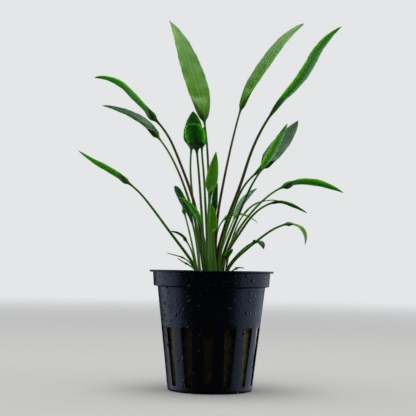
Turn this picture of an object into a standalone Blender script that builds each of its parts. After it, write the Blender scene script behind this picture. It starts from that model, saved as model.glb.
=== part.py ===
"""Potted cryptocoryne: a clump of slender aquarium leaves rooted in rock wool in a slotted net pot.

Lengths are in metres and angles in degrees. The pot stands on z = 0 with its axis on Z, and -Y is the side
that faces a viewer. Each leaf, the rootstock, the rock wool and the pot is its own solid.
"""

from dataclasses import dataclass
from math import cos, pi, radians, sin

import bmesh
import bpy
from mathutils import Matrix, Vector

MM = 0.001
CLEARANCE = 0.3 * MM  # between pieces that rest against each other

# Net pot
POT_HEIGHT = 52.5 * MM
LIP_RADIUS = 27.5 * MM
LIP_THICKNESS = 0.9 * MM
COLLAR_RADIUS = 26.0 * MM  # outside the collar, just under the lip
COLLAR_HEIGHT = 6.8 * MM
COLLAR_TAPER = 0.4 * MM
WALL_TOP_RADIUS = 23.9 * MM  # outside the wall, where it meets the collar's step
WALL_FOOT_RADIUS = 18.6 * MM
WALL = 1.0 * MM
FOOT_ROUNDING = 0.8 * MM
TURNED_STEPS = 56

# Slots through the wall
SLOT_COUNT = 14
SLOT_TURN = -3.0  # the middle slot's bearing from the viewer
SLOT_TOP = 27.8 * MM
SLOT_FOOT = 2.7 * MM
SLOT_TOP_WIDTH = 5.2 * MM
SLOT_FOOT_WIDTH = 2.7 * MM

# Rock wool and rootstock
WOOL_TOP = 42.6 * MM
WOOL_STEPS = 28
CROWN_TOP = 45.5 * MM
CROWN_RADIUS = 8.0 * MM
CROWN_DOME = 0.035 / MM  # how far the crown has fallen at a radius, per square of that radius
CROWN_FOOT = 37.0 * MM
CROWN_STEPS = 16

# Leaves
RING_POINTS = 6
PETIOLE_STEP = 8.0 * MM  # length of petiole per ring
BLADE_RINGS = 10
BLADE_THICKNESS = 0.45 * MM
FOLD = 0.12  # how far a blade's margins stand above its midrib, per unit of half width
# A blade's outline, as the exponents of its width towards its base and towards its tip
STRAP = (0.5, 0.55)
LANCE = (0.55, 0.95)
SLENDER = (0.9, 0.8)
OVATE = (0.50, 0.80)
SPOON = (0.45, 0.40)
PADDLE = (0.8, 0.4)

GREEN = {
    "pale": (0.30, 0.52, 0.12),
    "bright": (0.20, 0.47, 0.03),
    "olive": (0.17, 0.30, 0.03),
    "mid": (0.08, 0.27, 0.02),
    "dark": (0.015, 0.10, 0.012),
}


@dataclass(frozen=True)
class Leaf:
    """One leaf with its petiole, with lengths in millimetres."""

    name: str
    root: tuple  # where it leaves the crown, from the pot's axis
    heading: float  # the way it leans, from +X towards +Y
    petiole: float
    blade: float
    width: float
    lean: tuple  # from upright, at equal steps from the crown to the tip
    green: str = "mid"
    outline: tuple = LANCE
    roll: float = 0  # of the blade about its midrib
    stalk: float = 0.6  # radius of the petiole


LEAVES = (
    Leaf("tall_centre", (0.2, 1.9), 132, 75, 58, 11, (0, 6, 4, 5, 14, 26, 28, 45), "bright", roll=-20),
    Leaf("tall_right_inner", (2.0, 0.9), 22, 81, 54, 8,
         (-4, 1, 10, 12, 15, 33, 37, 56), "mid", STRAP, roll=25),
    Leaf("tall_right_outer", (1.9, -1.4), -25, 79, 50, 8.5,
         (-5, 15, 23, 17, 31, 49, 28, 58), "mid", SLENDER, roll=-10, stalk=0.75),
    Leaf("bright_right", (3.4, -3.8), -40, 54, 28, 6, (-6, 8, 24, 25, 60, 33, 32), "bright", SLENDER),
    Leaf("dark_right", (3.2, 2.8), 28, 60, 30, 10.5, (-2, 20, 24, 25, 41, 40, 34), "dark", OVATE, roll=25),
    Leaf("arching_left_upper", (-1.9, -0.6), 192, 78, 34, 10,
         (5, 9, 14, 22, 24, 50, 45, 95), "mid", STRAP, roll=5, stalk=0.7),
    Leaf("arching_left_dark", (-2.6, 2.2), 158, 73, 34, 9.5,
         (8, 10, 17, 22, 30, 46, 66, 76), "dark", STRAP, roll=-15),
    Leaf("arching_left_lower", (-4.6, -3.4), 198, 57, 26, 7,
         (4, 37, 40, 38, 41, 61, 63, 53), "bright", LANCE, roll=12),
    Leaf("young_centre", (-0.4, -2.4), -10, 40, 20, 5.6, (1, -3, -5, 3, 9, 5), "bright", roll=80, stalk=0.9),
    Leaf("dark_left", (-4.2, -1.6), 202, 28, 19, 5.5, (10, 7, 12, 31, 28), "dark", PADDLE, roll=17),
    Leaf("young_front", (1.2, -4.6), 0, 23, 14, 3.6, (8, -6, -4, 2, -18), "bright", roll=80, stalk=0.8),
    Leaf("narrow_behind_centre", (1.2, 4.2), 0, 33, 14, 3.4, (-4, 5, -2, -4, 15), "dark", roll=60, stalk=0.5),
    Leaf("spoon_back", (-4.8, 0.6), 180, 62, 17, 9, (5, 5, 8, 6, -6, 4), "dark", OVATE, roll=80),
    Leaf("spoon_front", (-2.8, -3.6), 250, 61, 12, 9.4, (6, 11, 13, 14, 18, 38), "dark", SPOON),
    Leaf("spoon_edge", (-2.4, 5.2), 225, 63, 10, 4.5, (-4, 1, 6, 5, 10, -18), "dark", roll=20),
    Leaf("thin_front_left", (-0.6, -6.4), 215, 26, 19, 3.8,
         (3, 9, 13, 18, 42, 72), "bright", SLENDER, roll=10),
    Leaf("left_behind", (-5.4, 3.4), 170, 34, 13, 5.5, (8, 11, 14, 17, 20), "bright", roll=10, stalk=0.5),
    Leaf("small_left", (-6.2, -1.8), 190, 22, 9, 4.5, (5, 8, 15, 45, 90), "dark", roll=10, stalk=0.45),
    Leaf("arching_right_upper", (5.0, 0.6), 12, 56, 30, 9,
         (-8, 15, 30, 40, 51, 79, 101, 112), "mid", LANCE, roll=-15),
    Leaf("arching_right_dark", (5.4, -1.8), -15, 46, 17, 6,
         (-14, 12, 35, 33, 57, 109, 117), "dark", SLENDER, roll=-15),
    Leaf("thin_right", (5.8, 2.4), 25, 35, 20, 4, (3, 7, 13, 22, 44, 72, 95), "olive", SLENDER, stalk=0.45),
    Leaf("small_back", (0.6, 7.6), 18, 33, 18, 4.5, (10, 6, -3, 4, 58, 100, 130), "mid", roll=20, stalk=0.45),
    Leaf("pale_back_right", (2.6, 5.2), 54, 34, 26, 4.5,
         (-14, 20, 35, 34, 52, 67), "pale", SLENDER, stalk=0.5),
    Leaf("low_right", (5.4, -4.4), -30, 44, 15, 5.5, (-7, 29, 52, 54, 56, 72, 124, 198), "bright"),
    Leaf("drooping_right", (4.2, -6.2), -45, 30, 7, 5, (5, 28, 48, 54, 72, 165), "dark", stalk=0.45),
    Leaf("short_right", (3.2, -7.2), -50, 15, 6, 4, (2, 16, 34, 56), "dark", stalk=0.45),
    Leaf("rim_right", (6.7, -3.0), -15, 11, 4, 4, (-6, 12, 60, 106), "mid", stalk=0.45),
    Leaf("thin_rim_left", (-6.6, 1.6), 180, 16, 8, 2, (-12, 12, 44, 76, 76), "olive", stalk=0.4),
    Leaf("short_rim_left", (-5.6, -5.4), 185, 14, 5, 2.4, (-20, 5, 50, 64, 58), "dark", stalk=0.45),
)


def clear_scene():
    """Leaves nothing of the startup scene."""
    for obj in list(bpy.data.objects):
        bpy.data.objects.remove(obj, do_unlink=True)


def new_collection(name):
    """A new collection under the scene's own."""
    collection = bpy.data.collections.new(name)
    bpy.context.scene.collection.children.link(collection)
    return collection


def new_material(name, colour, roughness):
    """A plain Principled material."""
    material = bpy.data.materials.new(name)
    material.use_nodes = True
    shader = material.node_tree.nodes["Principled BSDF"]
    shader.inputs["Base Color"].default_value = (*colour, 1)
    shader.inputs["Roughness"].default_value = roughness
    return material


def new_object(name, points, faces, collection, material=None):
    """An object of a mesh made from points and faces."""
    mesh = bpy.data.meshes.new(name)
    mesh.from_pydata(points, [], faces)
    mesh.update()
    obj = bpy.data.objects.new(name, mesh)
    collection.objects.link(obj)
    if material:
        mesh.materials.append(material)
    return obj


def turned(name, profile, steps, collection, material=None):
    """A solid turned about Z from a profile of (radius, height) that runs down its outer side."""
    points = [(radius, 0, height) for radius, height in profile]
    edges = [(i, i + 1) for i in range(len(points) - 1)]
    mesh = bpy.data.meshes.new(name)
    mesh.from_pydata(points, edges, [])
    obj = bpy.data.objects.new(name, mesh)
    collection.objects.link(obj)
    if material:
        mesh.materials.append(material)
    screw = obj.modifiers.new("Turned", "SCREW")
    screw.steps = screw.render_steps = steps
    screw.use_merge_vertices = True
    screw.merge_threshold = 0.01 * MM
    return obj


def cut(obj, cutter):
    """Takes the cutter's shape out of the object."""
    boolean = obj.modifiers.new("Cut " + cutter.name, "BOOLEAN")
    boolean.operation = "DIFFERENCE"
    boolean.solver = "EXACT"
    boolean.object = cutter


def wall_radius(height):
    """The outside radius of the pot's tapered wall."""
    wall_top = POT_HEIGHT - COLLAR_HEIGHT
    return WALL_FOOT_RADIUS + (WALL_TOP_RADIUS - WALL_FOOT_RADIUS) * height / wall_top


def pot_profile():
    """Half the pot's section: down the outside, across the foot, back up the inside and over the lip."""
    under_lip = POT_HEIGHT - LIP_THICKNESS
    step = POT_HEIGHT - COLLAR_HEIGHT
    foot = WALL_FOOT_RADIUS - FOOT_ROUNDING
    return [
        (LIP_RADIUS - 0.3 * MM, POT_HEIGHT),
        (LIP_RADIUS, POT_HEIGHT - 0.3 * MM),
        (LIP_RADIUS, under_lip),
        (COLLAR_RADIUS, under_lip),
        (COLLAR_RADIUS - COLLAR_TAPER, step),
        (WALL_TOP_RADIUS, step - 0.4 * MM),
        (wall_radius(FOOT_ROUNDING), FOOT_ROUNDING),
        (foot + 0.3 * FOOT_ROUNDING, 0.3 * FOOT_ROUNDING),
        (foot, 0),
        (0, 0),
        (0, WALL),
        (foot - WALL, WALL),
        (wall_radius(2 * WALL) - WALL, 2 * WALL),
        (WALL_TOP_RADIUS - WALL, step),
        (COLLAR_RADIUS - COLLAR_TAPER - WALL, step + WALL),
        (COLLAR_RADIUS - WALL, POT_HEIGHT),
        (LIP_RADIUS - 0.3 * MM, POT_HEIGHT),
    ]


def slot_cutter(index, collection):
    """A block through the wall, narrowed towards its foot, at the bearing of one slot."""
    near, far = 0.6 * WALL_FOOT_RADIUS, 1.3 * WALL_TOP_RADIUS
    middle = Vector((0, -(near + far) / 2, (SLOT_TOP + SLOT_FOOT) / 2))
    size = Matrix.Diagonal((SLOT_TOP_WIDTH, far - near, SLOT_TOP - SLOT_FOOT, 1))
    solid = bmesh.new()
    corners = bmesh.ops.create_cube(solid, size=1, matrix=Matrix.Translation(middle) @ size)["verts"]
    foot = [corner for corner in corners if corner.co.z < middle.z]
    bmesh.ops.scale(solid, vec=(SLOT_FOOT_WIDTH / SLOT_TOP_WIDTH, 1, 1), verts=foot)
    turn = Matrix.Rotation(radians(SLOT_TURN + 360 * index / SLOT_COUNT), 3, "Z")
    bmesh.ops.rotate(solid, cent=(0, 0, 0), matrix=turn, verts=corners)
    cutter = new_object(f"slot_cutter_{index + 1}", [], [], collection)
    solid.to_mesh(cutter.data)
    solid.free()
    cutter.display_type = "WIRE"
    return cutter


def build_pot(collection, cutters):
    """The turned net pot with its ring of slots."""
    plastic = new_material("pot_plastic", (0.01, 0.011, 0.016), 0.35)
    pot = turned("pot", pot_profile(), TURNED_STEPS, collection, plastic)
    for index in range(SLOT_COUNT):
        cut(pot, slot_cutter(index, cutters))
    return pot


def crown_height(radius):
    """The height of the domed crown at a radius."""
    return CROWN_TOP - CROWN_DOME * radius**2


def crown_profile(grow=0.0):
    """Half the rootstock's section, grown evenly outwards."""
    radii = (0, 0.4, 0.75)
    dome = [(CROWN_RADIUS * part, crown_height(CROWN_RADIUS * part) + grow) for part in radii]
    return dome + [
        (CROWN_RADIUS + grow, crown_height(CROWN_RADIUS)),
        (0.85 * CROWN_RADIUS + grow, crown_height(CROWN_RADIUS) - 2.6 * MM),
        (0.45 * CROWN_RADIUS + grow, CROWN_FOOT - grow),
        (0, CROWN_FOOT - grow),
    ]


def build_rootstock(collection):
    """The short domed rootstock that every petiole springs from."""
    brown = new_material("rootstock_brown", (0.10, 0.06, 0.03), 0.8)
    return turned("rootstock", crown_profile(), CROWN_STEPS, collection, brown)


def build_rock_wool(collection, cutters):
    """The plug of rock wool that fills the pot, with a pocket for the rootstock."""
    lining = WALL + CLEARANCE
    profile = [
        (0, WOOL_TOP),
        (wall_radius(WOOL_TOP) - lining - 1.5 * MM, WOOL_TOP),
        (wall_radius(WOOL_TOP - MM) - lining, WOOL_TOP - 1.2 * MM),
        (wall_radius(2 * WALL) - lining, 2 * WALL + CLEARANCE),
        (WALL_FOOT_RADIUS - FOOT_ROUNDING - lining, lining),
        (0, lining),
    ]
    wool = turned("rock_wool", profile, WOOL_STEPS, collection, new_material("wool", (0.20, 0.18, 0.05), 1.0))
    pocket = turned("crown_pocket_cutter", crown_profile(CLEARANCE), CROWN_STEPS, cutters)
    pocket.display_type = "WIRE"
    cut(wool, pocket)
    return wool


def steps_along(leaf):
    """How far along the leaf, from 0 to 1, each ring stands."""
    whole = leaf.petiole + leaf.blade
    stalk_rings = max(4, round(leaf.petiole * MM / PETIOLE_STEP))
    stalk = [leaf.petiole / whole * i / stalk_rings for i in range(stalk_rings)]
    return stalk + [(leaf.petiole + leaf.blade * i / BLADE_RINGS) / whole for i in range(BLADE_RINGS + 1)]


def lean_at(leaf, along):
    """The leaf's lean from upright, in radians, at a share of its length."""
    place = along * (len(leaf.lean) - 1)
    below = min(int(place), len(leaf.lean) - 2)
    return radians(leaf.lean[below] + (leaf.lean[below + 1] - leaf.lean[below]) * (place - below))


def midrib(leaf):
    """(share of the length, point, direction) at each ring, up the leaf's own upright plane."""
    outward = Vector((cos(radians(leaf.heading)), sin(radians(leaf.heading)), 0))
    root = Vector(leaf.root).to_3d() * MM
    inner_side = root.length - 1.5 * leaf.stalk * MM
    point = root + Vector((0, 0, crown_height(inner_side) + CLEARANCE))
    length = (leaf.petiole + leaf.blade) * MM
    fine_steps = 12
    places, before = [], 0.0
    for along in steps_along(leaf):
        for i in range(fine_steps):
            lean = lean_at(leaf, before + (along - before) * (i + 0.5) / fine_steps)
            step = (along - before) * length / fine_steps
            point = point + step * (outward * sin(lean) + Vector((0, 0, cos(lean))))
        lean = lean_at(leaf, along)
        places.append((along, point.copy(), outward * sin(lean) + Vector((0, 0, cos(lean)))))
        before = along
    return places


def half_width(leaf, along):
    """The half width of the petiole or the blade at a share of the leaf's length."""
    stalk = leaf.petiole / (leaf.petiole + leaf.blade)
    if along <= stalk:
        return leaf.stalk * MM * (1.25 - 0.5 * along / stalk)
    part = (along - stalk) / (1 - stalk)
    near, far = leaf.outline
    peak = near / (near + far)
    outline = (part / peak) ** near * ((1 - part) / (1 - peak)) ** far
    return max(leaf.width / 2 * outline, 0.75 * leaf.stalk * (1 - 0.8 * part)) * MM


def ring(leaf, along, point, direction):
    """The points round one section of a leaf: a hexagon on the petiole, a folded strip on the blade."""
    stalk = leaf.petiole / (leaf.petiole + leaf.blade)
    blade = min(1.0, max(0.0, (along - stalk) / (0.2 * (1 - stalk))))
    side = Vector((-sin(radians(leaf.heading)), cos(radians(leaf.heading)), 0))
    up = direction.cross(side)
    turn = Matrix.Rotation(radians(leaf.roll) * blade, 3, direction)
    side, up = turn @ side, turn @ up
    half = half_width(leaf, along)
    thick = (1 - blade) * half + blade * min(half, BLADE_THICKNESS / 2)
    points = []
    for i in range(RING_POINTS):
        angle = pi / 2 + 2 * pi * i / RING_POINTS
        across = half * cos(angle) / cos(pi / 6)
        lift = FOLD * blade * abs(across)
        points.append(point + side * across + up * (thick * sin(angle) + lift))
    return points


def build_leaf(leaf, collection, material):
    """A closed leaf lofted from its round petiole to its flat folded blade."""
    points, faces = [], []
    for along, point, direction in midrib(leaf):
        points += ring(leaf, along, point, direction)
    rings = len(points) // RING_POINTS
    for r in range(rings - 1):
        for i in range(RING_POINTS):
            a, b = r * RING_POINTS + i, r * RING_POINTS + (i + 1) % RING_POINTS
            faces.append((a, b, b + RING_POINTS, a + RING_POINTS))
    faces.append(tuple(range(RING_POINTS))[::-1])
    faces.append(tuple(range(len(points) - RING_POINTS, len(points))))
    return new_object("leaf_" + leaf.name, points, faces, collection, material)


def main():
    """Builds the pot, its filling and every leaf."""
    clear_scene()
    plant = new_collection("potted_cryptocoryne")
    cutters = new_collection("cutters")
    build_pot(plant, cutters)
    build_rock_wool(plant, cutters)
    build_rootstock(plant)
    tones = {tone: new_material("leaf_" + tone, colour, 0.4) for tone, colour in GREEN.items()}
    for leaf in LEAVES:
        build_leaf(leaf, plant, tones[leaf.green])
    cutters.hide_render = True
    for cutter in cutters.objects:
        cutter.hide_render = True


main()
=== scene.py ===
"""Potted cryptocoryne: the finished pot, rock wool, rootstock and leaves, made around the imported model.

Lengths are in metres, unless a name or a comment says millimetres, and angles are in degrees. The pot stands
on z = 0 with its axis on Z, and the camera stands towards -Y. Every piece is modelled in place.
"""

import logging
from dataclasses import dataclass, field
from enum import Enum
from math import asin, atan2, copysign, cos, degrees, exp, hypot, pi, radians, sin
from random import Random
from typing import Callable, NamedTuple, Union

import bpy
import numpy as np
from mathutils import Matrix, Vector, noise


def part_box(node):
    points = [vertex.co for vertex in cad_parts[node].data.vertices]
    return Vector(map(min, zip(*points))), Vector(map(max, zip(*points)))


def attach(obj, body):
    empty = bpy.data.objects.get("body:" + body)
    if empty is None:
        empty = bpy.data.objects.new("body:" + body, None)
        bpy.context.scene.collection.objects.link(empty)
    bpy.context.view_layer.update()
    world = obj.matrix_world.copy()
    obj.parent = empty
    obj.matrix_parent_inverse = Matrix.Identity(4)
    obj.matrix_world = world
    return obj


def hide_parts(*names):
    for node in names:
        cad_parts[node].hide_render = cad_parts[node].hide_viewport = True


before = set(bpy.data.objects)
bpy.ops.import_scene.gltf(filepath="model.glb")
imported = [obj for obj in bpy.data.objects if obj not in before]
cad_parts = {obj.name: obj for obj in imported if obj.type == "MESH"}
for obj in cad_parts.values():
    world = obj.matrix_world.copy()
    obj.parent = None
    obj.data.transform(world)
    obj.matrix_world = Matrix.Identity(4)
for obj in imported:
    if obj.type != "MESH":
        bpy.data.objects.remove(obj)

Colour = tuple[float, float, float]
Value = Union[bpy.types.NodeSocket, float, tuple]

MM = 0.001
BODY = "root"
SMOOTH_ANGLE = radians(38)
log = logging.getLogger("cryptocoryne")


def smooth(value: float, low: float, high: float) -> float:
    """How far a value has come from low to high, from 0 to 1, with a soft start and end."""
    part = min(1.0, max(0.0, (value - low) / (high - low)))
    return part * part * (3 - 2 * part)


def select_only(obj: bpy.types.Object) -> None:
    """Leaves one object selected and active."""
    bpy.ops.object.select_all(action="DESELECT")
    obj.select_set(True)
    bpy.context.view_layer.objects.active = obj


def name_piece(obj: bpy.types.Object, name: str) -> bpy.types.Object:
    """Names an object and its mesh alike."""
    obj.name = obj.data.name = name
    return obj


def apply_modifier(obj: bpy.types.Object, kind: str, **settings: object) -> None:
    """Adds a modifier with these settings and applies it.

    Args:
        obj: The object that the modifier shapes.
        kind: The modifier's type.
        **settings: Its properties by name.
    """
    modifier = obj.modifiers.new(kind.title(), kind)
    for name, value in settings.items():
        setattr(modifier, name, value)
    select_only(obj)
    bpy.ops.object.modifier_apply(modifier=modifier.name)


def select_faces(obj: bpy.types.Object, chosen: Callable[[Vector], bool]) -> int:
    """Selects the faces whose centre is chosen, and nothing else.

    Args:
        obj: A mesh object in object mode.
        chosen: Says of a face's centre whether the face is wanted.

    Returns:
        How many faces are selected.
    """
    mesh = obj.data
    for part in (mesh.vertices, mesh.edges, mesh.polygons):
        part.foreach_set("select", [False] * len(part))
    found = [face for face in mesh.polygons if chosen(face.center)]
    for face in found:
        face.select = True
    return len(found)


def close_and_orient(obj: bpy.types.Object) -> None:
    """Turns every face of a closed mesh outwards."""
    select_only(obj)
    bpy.ops.object.mode_set(mode="EDIT")
    bpy.ops.mesh.select_all(action="SELECT")
    bpy.ops.mesh.normals_make_consistent(inside=False)
    bpy.ops.object.mode_set(mode="OBJECT")


def raise_rows(name: str, rows: list[tuple[float, float]], columns: int, turn: float = 0.0) -> bpy.types.Object:
    """A closed round solid, extruded row by row from a disc at its foot to a disc at its end.

    Args:
        name: The object's name.
        rows: (radius, height) of each row, from the middle of the underside round to the last disc.
        columns: Points round each row.
        turn: How far the first point is turned about Z, in radians.

    Returns:
        The new object, unturned, with its place in its mesh.
    """
    bpy.ops.object.select_all(action="DESELECT")
    radius, height = rows[0]
    bpy.ops.mesh.primitive_circle_add(
        vertices=columns, radius=radius, fill_type="NGON", location=(0, 0, height), rotation=(0, 0, turn)
    )
    solid = name_piece(bpy.context.object, name)
    bpy.ops.object.transform_apply(location=True, rotation=True, scale=True)
    bpy.ops.object.mode_set(mode="EDIT")
    bpy.ops.mesh.select_mode(type="FACE")
    bpy.ops.mesh.select_all(action="SELECT")
    for next_radius, next_height in rows[1:]:
        rise = (0, 0, next_height - height)
        bpy.ops.mesh.extrude_region_move(TRANSFORM_OT_translate={"value": rise})
        share = next_radius / radius
        bpy.ops.transform.resize(value=(share, share, 1), center_override=(0, 0, next_height))
        radius, height = next_radius, next_height
    bpy.ops.object.mode_set(mode="OBJECT")
    close_and_orient(solid)
    return solid


def dress(
    piece: bpy.types.Object, material: bpy.types.Material, node: str, smooth_angle: float = SMOOTH_ANGLE
) -> None:
    """Gives a finished piece its material and its place in the object.

    Args:
        piece: The finished piece.
        material: Its material.
        node: The CAD node that it stands for.
        smooth_angle: Edges that turn more than this stay sharp.
    """
    piece.data.materials.clear()
    piece.data.materials.append(material)
    select_only(piece)
    bpy.ops.object.shade_smooth_by_angle(angle=smooth_angle)
    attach(piece, BODY)
    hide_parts(node)
    triangles = sum(len(face.vertices) - 2 for face in piece.data.polygons)
    log.info("%s: %d triangles", piece.name, triangles)


class Tree:
    """A node tree, with short ways to add nodes to it."""

    def __init__(self, tree: bpy.types.NodeTree) -> None:
        """Keeps the tree that nodes go into."""
        self.tree = tree

    def put(self, socket: bpy.types.NodeSocket, value: Value) -> None:
        """Links a socket to another, or sets its value."""
        if isinstance(value, bpy.types.NodeSocket):
            self.tree.links.new(value, socket)
        elif isinstance(value, tuple) and socket.type == "RGBA":
            socket.default_value = (*value, 1)
        else:
            socket.default_value = value

    def node(self, kind: str, inputs: dict[Union[str, int], Value], **settings: object) -> bpy.types.Node:
        """Adds a node.

        Args:
            kind: The node's class.
            inputs: What goes into its sockets, by name or index.
            **settings: Its properties by name.

        Returns:
            The node.
        """
        node = self.tree.nodes.new(kind)
        for name, value in settings.items():
            setattr(node, name, value)
        for key, value in inputs.items():
            self.put(node.inputs[key], value)
        return node

    def math(self, operation: str, *values: Value, clamp: bool = False) -> bpy.types.NodeSocket:
        """The result of a sum on values or sockets."""
        inputs = dict(enumerate(values))
        return self.node("ShaderNodeMath", inputs, operation=operation, use_clamp=clamp).outputs[0]

    def ramp(self, value: Value, low: float, high: float, start: float = 0.0, end: float = 1.0) -> bpy.types.NodeSocket:
        """A soft step from start to end as the value goes from low to high."""
        inputs = {"Value": value, "From Min": low, "From Max": high, "To Min": start, "To Max": end}
        return self.node("ShaderNodeMapRange", inputs, interpolation_type="SMOOTHSTEP").outputs[0]

    def mix(self, share: Value, first: Value, second: Value) -> bpy.types.NodeSocket:
        """A colour between two others."""
        return self.node("ShaderNodeMix", {0: share, 6: first, 7: second}, data_type="RGBA").outputs[2]

    def stretch(self, vector: Value, scale: tuple[float, float, float]) -> bpy.types.NodeSocket:
        """A vector scaled along each axis."""
        return self.node("ShaderNodeMapping", {"Vector": vector, "Scale": scale}).outputs[0]

    def noise(self, vector: Value, scale: Value, detail: float = 3.0, distortion: float = 0.0) -> bpy.types.NodeSocket:
        """A cloudy value around 0.5."""
        inputs = {"Vector": vector, "Scale": scale, "Detail": detail, "Distortion": distortion}
        return self.node("ShaderNodeTexNoise", inputs).outputs[0]

    def place(self) -> bpy.types.NodeSocket:
        """The point on the piece, in the object's own frame."""
        return self.node("ShaderNodeTexCoord", {}).outputs["Object"]

    def split(self, vector: Value) -> tuple[bpy.types.NodeSocket, ...]:
        """The three parts of a vector."""
        return tuple(self.node("ShaderNodeSeparateXYZ", {0: vector}).outputs)


class Effect:
    """A shader node group that several materials share."""

    def __init__(self, name: str, inputs: dict[str, Value], outputs: tuple[str, ...]) -> None:
        """Makes the group and its sockets.

        Args:
            name: The group's name.
            inputs: The default of each input, a tuple for a colour and a number for a value.
            outputs: Output names. "Colour" is a colour, and every other one a value.
        """
        self.group = bpy.data.node_groups.new(name, "ShaderNodeTree")
        for key, value in inputs.items():
            kind = "NodeSocketColor" if isinstance(value, tuple) else "NodeSocketFloat"
            socket = self.group.interface.new_socket(key, in_out="INPUT", socket_type=kind)
            socket.default_value = (*value, 1) if isinstance(value, tuple) else value
        for key in outputs:
            kind = "NodeSocketColor" if key == "Colour" else "NodeSocketFloat"
            self.group.interface.new_socket(key, in_out="OUTPUT", socket_type=kind)
        self.tree = Tree(self.group)
        self.given = self.group.nodes.new("NodeGroupInput").outputs
        self.result = self.group.nodes.new("NodeGroupOutput").inputs

    def into(self, tree: Tree, inputs: dict[str, Value]) -> bpy.types.NodeOutputs:
        """Places the group in a material and returns its outputs."""
        return tree.node("ShaderNodeGroup", inputs, node_tree=self.group).outputs


class Paint:
    """A new material whose Principled shader a finish fills in."""

    def __init__(self, name: str, constants: dict[str, float]) -> None:
        """Makes the material and sets the shader's constant sockets.

        Args:
            name: The material's name.
            constants: Values of sockets that are the same all over the surface.
        """
        self.material = bpy.data.materials.new(name)
        self.material.use_nodes = True
        self.tree = Tree(self.material.node_tree)
        self.shader = self.material.node_tree.nodes["Principled BSDF"]
        for key, value in constants.items():
            self.shader.inputs[key].default_value = value

    def finish(self, colour: Value, roughness: Value, height: Value, relief: float) -> bpy.types.Material:
        """Links the surface's colour, roughness and relief.

        Args:
            colour: The base colour.
            roughness: The roughness.
            height: The relief, from 0 to 1.
            relief: How deep the relief is, in metres.

        Returns:
            The material.
        """
        bump = self.tree.node("ShaderNodeBump", {"Height": height, "Distance": relief, "Strength": 1.0})
        self.tree.put(self.shader.inputs["Base Color"], colour)
        self.tree.put(self.shader.inputs["Roughness"], roughness)
        self.tree.put(self.shader.inputs["Normal"], bump.outputs[0])
        return self.material


def make_grain() -> Effect:
    """Fine cloudy variation: a value, and two colours mixed by it."""
    grain = Effect("grain", {"Scale": 400.0, "Light": (1.0, 1.0, 1.0), "Dark": (0.0, 0.0, 0.0)}, ("Colour", "Value"))
    tree = grain.tree
    place = tree.place()
    coarse = tree.noise(place, grain.given["Scale"], 4.0)
    fine = tree.noise(place, tree.math("MULTIPLY", grain.given["Scale"], 5.0), 2.0)
    value = tree.math("ADD", tree.math("MULTIPLY", coarse, 0.7), tree.math("MULTIPLY", fine, 0.3))
    value = tree.ramp(value, 0.3, 0.7)
    tree.put(grain.result["Colour"], tree.mix(value, grain.given["Dark"], grain.given["Light"]))
    tree.put(grain.result["Value"], value)
    return grain


def make_beads() -> Effect:
    """A round-topped bead of wet sheen in most cells: its height and where it lies."""
    beads = Effect("wet_beads", {"Scale": 700.0, "Cover": 1.0, "Size": 0.45}, ("Height", "Mask"))
    tree = beads.tree
    inputs = {"Vector": tree.place(), "Scale": beads.given["Scale"], "Randomness": 1.0}
    cells = tree.node("ShaderNodeTexVoronoi", inputs).outputs
    chance = tree.split(cells["Color"])
    present = tree.math("LESS_THAN", chance[0], beads.given["Cover"])
    radius = tree.math("MULTIPLY", tree.math("MULTIPLY_ADD", chance[1], 0.6, 0.4), beads.given["Size"])
    share = tree.math("DIVIDE", cells["Distance"], radius)
    dome = tree.math("SUBTRACT", 1.0, tree.math("MULTIPLY", share, share), clamp=True)
    height = tree.math("MULTIPLY", tree.math("SQRT", dome), tree.math("MULTIPLY", radius, present))
    tree.put(beads.result["Height"], height)
    tree.put(beads.result["Mask"], tree.math("MULTIPLY", tree.ramp(dome, 0.0, 0.15), present))
    return beads


GROWTH = "growth"  # vertex attribute: share of the stalk, share of the blade, place across from -1 to 1
LOWER_SIDE = "lower_side"  # vertex attribute: 1 on the lower side of a blade
TINT = "tint"  # vertex attribute: one chance value for each leaf


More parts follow.
